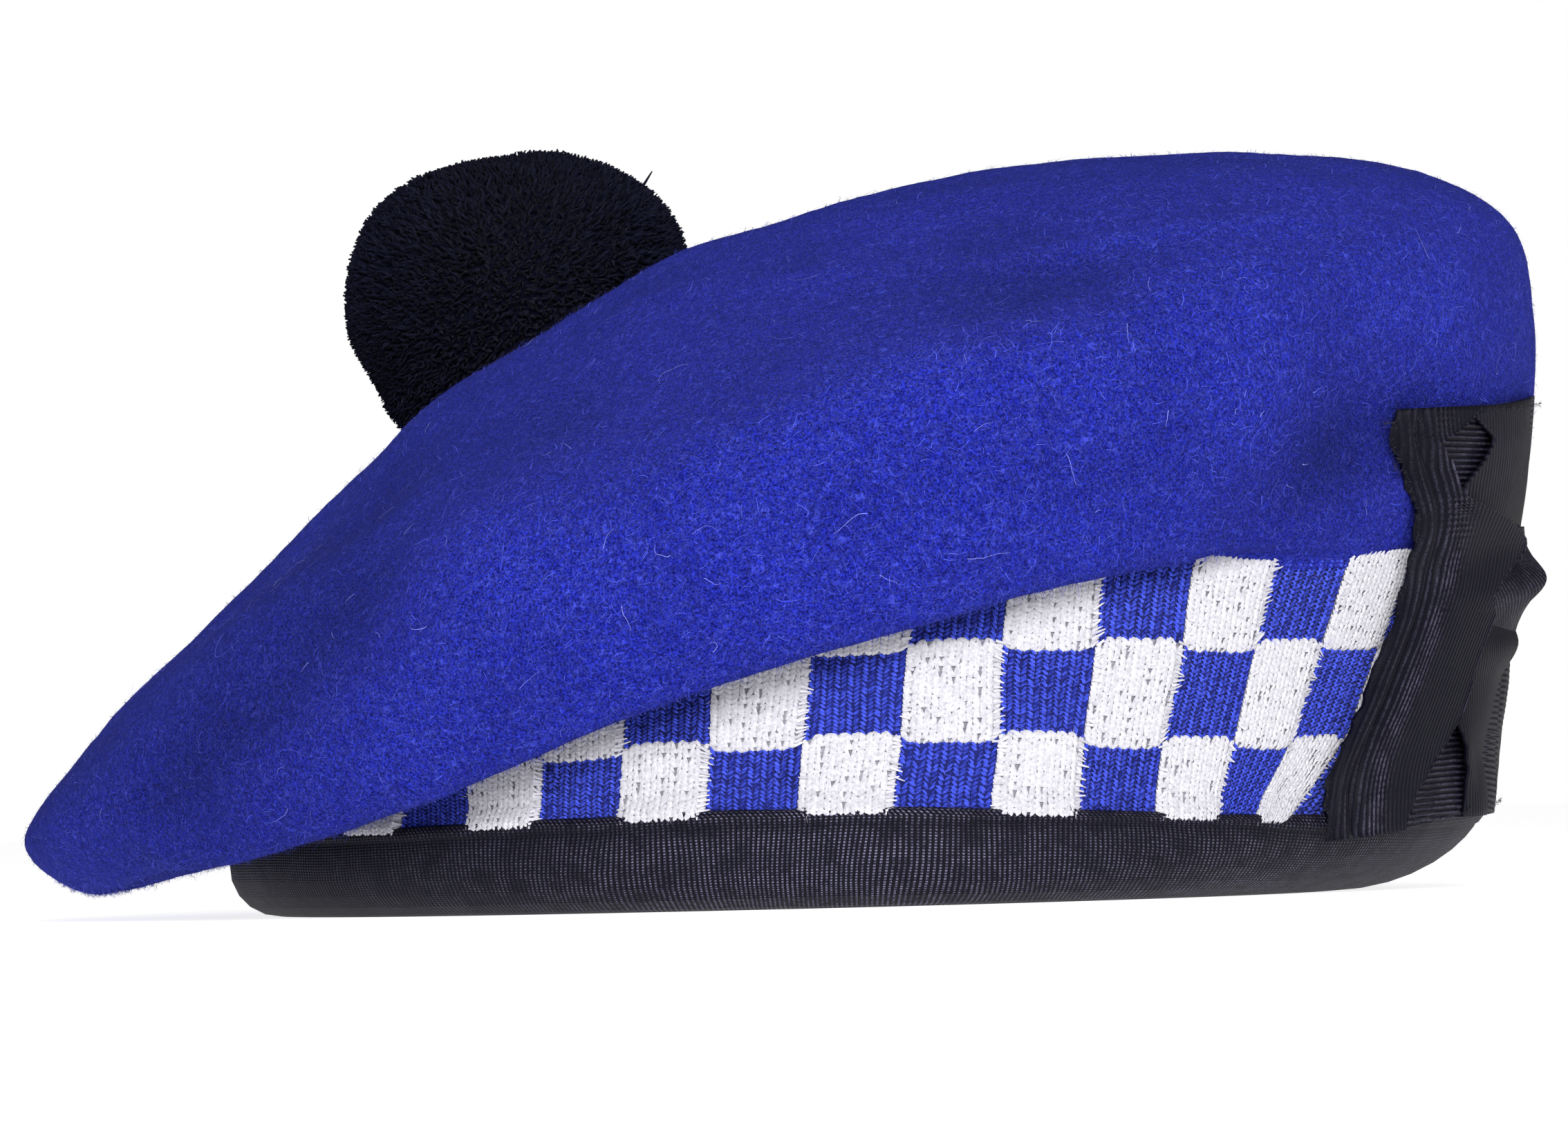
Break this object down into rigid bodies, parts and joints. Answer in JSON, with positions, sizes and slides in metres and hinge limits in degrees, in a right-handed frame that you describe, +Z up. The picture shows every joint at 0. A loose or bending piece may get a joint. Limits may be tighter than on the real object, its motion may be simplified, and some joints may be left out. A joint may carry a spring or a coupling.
{
  "type": "balmoral bonnet",
  "caption": "Soft felt bonnet that slouches to one side over a checked knitted band, with a ribbon-bound rim, a pleated ribbon cockade at the side and a pompom on top.",
  "frame": {"origin": "on the floor under the middle of the bounding box", "axes": "+Z up from the rim, +Y towards the back of the bonnet, +X towards the side with the cockade (the wearer's left)"},
  "size_m": [0.2196, 0.2278, 0.1112],
  "materials": {
    "felt": "matte royal blue wool felt",
    "knit": "matte knitted wool, white and blue checks",
    "ribbon": "black ribbed ribbon with a low sheen",
    "yarn": "cut wool yarn, near-black navy"
  },
  "bodies": {
    "root": {"crown": "felt", "diced_band": "knit", "rim_ribbon": "ribbon", "toorie": "yarn", "cockade_back": "ribbon", "cockade_loop_left": "ribbon", "cockade_loop_right": "ribbon", "cockade_pleat": "ribbon"}
  },
  "joints": []
}
